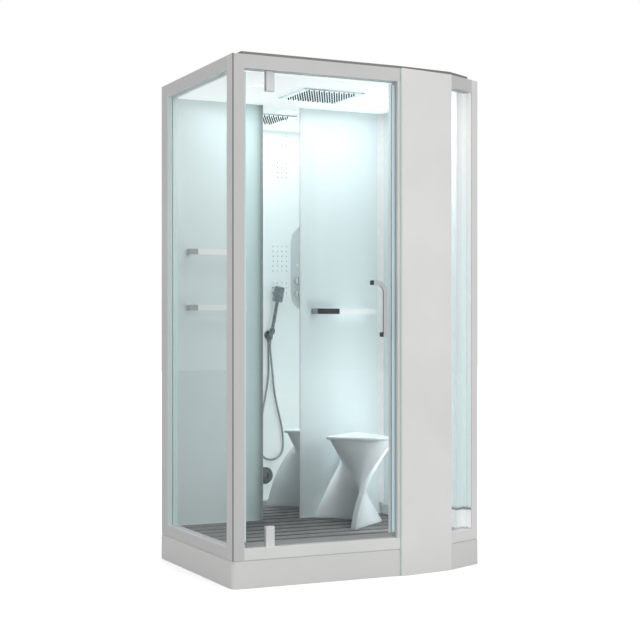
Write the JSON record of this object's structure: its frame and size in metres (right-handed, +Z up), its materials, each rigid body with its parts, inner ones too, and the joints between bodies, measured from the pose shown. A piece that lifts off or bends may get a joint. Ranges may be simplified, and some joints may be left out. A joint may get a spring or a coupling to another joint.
{
  "type": "shower cabin",
  "caption": "Framed steam shower cabin with a glass pivot door, solid column with fittings, chamfered glass corner, mirrored wall, rain head, slatted deck and a loose stool.",
  "frame": {"origin": "centre of the bounding box's bottom, on the floor", "axes": "+Z up; the door faces -Y; +X is to the right, towards the column and the chamfered corner, when facing the door"},
  "size_m": [1.224, 0.8798, 2.165],
  "materials": {
    "white_acrylic": "glossy moulded acrylic",
    "frame_silver": "pale satin silver coating",
    "clear_glass": "clear tempered safety glass, faint green edge",
    "painted_glass": "back-painted white tempered glass",
    "mirror": "polished mirror",
    "chrome": "bright chrome",
    "satin_steel": "fine brushed stainless steel",
    "seal": "soft translucent seal",
    "dark_trim": "dark satin plastic",
    "deck": "fine-grained moulded slats",
    "white_plastic": "smooth moulded plastic",
    "brass": "cast brass",
    "copper": "plain copper pipe",
    "grey_plastic": "matt waste fitting plastic",
    "zinc": "zinc-coated steel"
  },
  "bodies": {
    "frame": {"shower_tray": "white_acrylic", "support_frame": "zinc", "levelling_feet": "zinc", "drain_waste": "grey_plastic", "drain_cover": "satin_steel", "post_front_left": "frame_silver", "post_back_left": "frame_silver", "post_back_right": "frame_silver", "post_front_right": "frame_silver", "sill_left": "frame_silver", "sill_front": "frame_silver", "sill_corner": "frame_silver", "sill_right": "frame_silver", "sill_back": "frame_silver", "head_left": "frame_silver", "head_front": "frame_silver", "head_corner": "frame_silver", "head_right": "frame_silver", "head_back": "frame_silver", "roof_cap": "white_acrylic", "ceiling_panel": "white_acrylic", "glass_left": "clear_glass", "glass_corner": "clear_glass", "right_wall_panel": "painted_glass", "back_panel_left": "painted_glass", "back_mirror": "mirror", "back_panel_right": "painted_glass", "back_wall_strips": "frame_silver", "jamb_profile": "frame_silver", "column_cover": "frame_silver", "column_inner_panel": "painted_glass", "pivot_pins": "satin_steel", "rain_head": "chrome", "rain_nozzles": "seal", "rain_pipe": "copper", "body_jets": "chrome", "jet_manifold": "white_plastic", "ceiling_light": "white_plastic", "vent_grille": "white_plastic", "towel_bars_left": "chrome", "towel_bar_right": "chrome", "mixer_valve": "brass", "water_pipes": "copper", "steam_outlet": "chrome", "steam_generator": "satin_steel", "control_fascia": "white_plastic", "hand_shower_holder": "chrome", "shower_hose": "chrome"},
    "door": {"door_glass": "clear_glass", "hinge_clamp_top": "chrome", "hinge_clamp_bottom": "chrome", "door_handle": "chrome", "handle_caps": "chrome", "door_seals": "seal"},
    "temperature_knob": {"temperature_knob": "chrome"},
    "diverter_knob": {"diverter_knob": "chrome"},
    "hand_shower": {"hand_shower": "chrome"},
    "button_steam": {"button_steam": "white_plastic"},
    "floor_deck": {"floor_deck": "deck"},
    "stool": {"stool": "white_acrylic"}
  },
  "joints": [
    {"name": "door_pivot", "type": "hinge", "parent": "frame", "child": "door", "pos_m": [-0.4395, -0.399, 1.127], "axis": [0, 0, -1], "range_deg": [0, 90]},
    {"name": "hand_shower_lift", "type": "slide", "parent": "frame", "child": "hand_shower", "axis": [0.1857, 0, 0.9826], "range_m": [0, 0.06]},
    {"name": "temperature_turn", "type": "hinge", "parent": "frame", "child": "temperature_knob", "pos_m": [0.39, -0.295, 1.238], "axis": [0, 1, 0], "range_deg": [-90, 90]},
    {"name": "diverter_turn", "type": "hinge", "parent": "frame", "child": "diverter_knob", "pos_m": [0.39, -0.295, 1.308], "axis": [0, 1, 0], "range_deg": [-90, 90]},
    {"name": "steam_button_press", "type": "slide", "parent": "frame", "child": "button_steam", "axis": [0, -1, 0], "range_m": [0, 0.0015], "stiffness_N_per_m": 200},
    {"name": "deck_lift", "type": "slide", "parent": "frame", "child": "floor_deck", "axis": [0, 0, 1], "range_m": [0, 0.06]},
    {"name": "stool_lift", "type": "slide", "parent": "floor_deck", "child": "stool", "axis": [0, 0, 1], "range_m": [0, 0.2]}
  ]
}
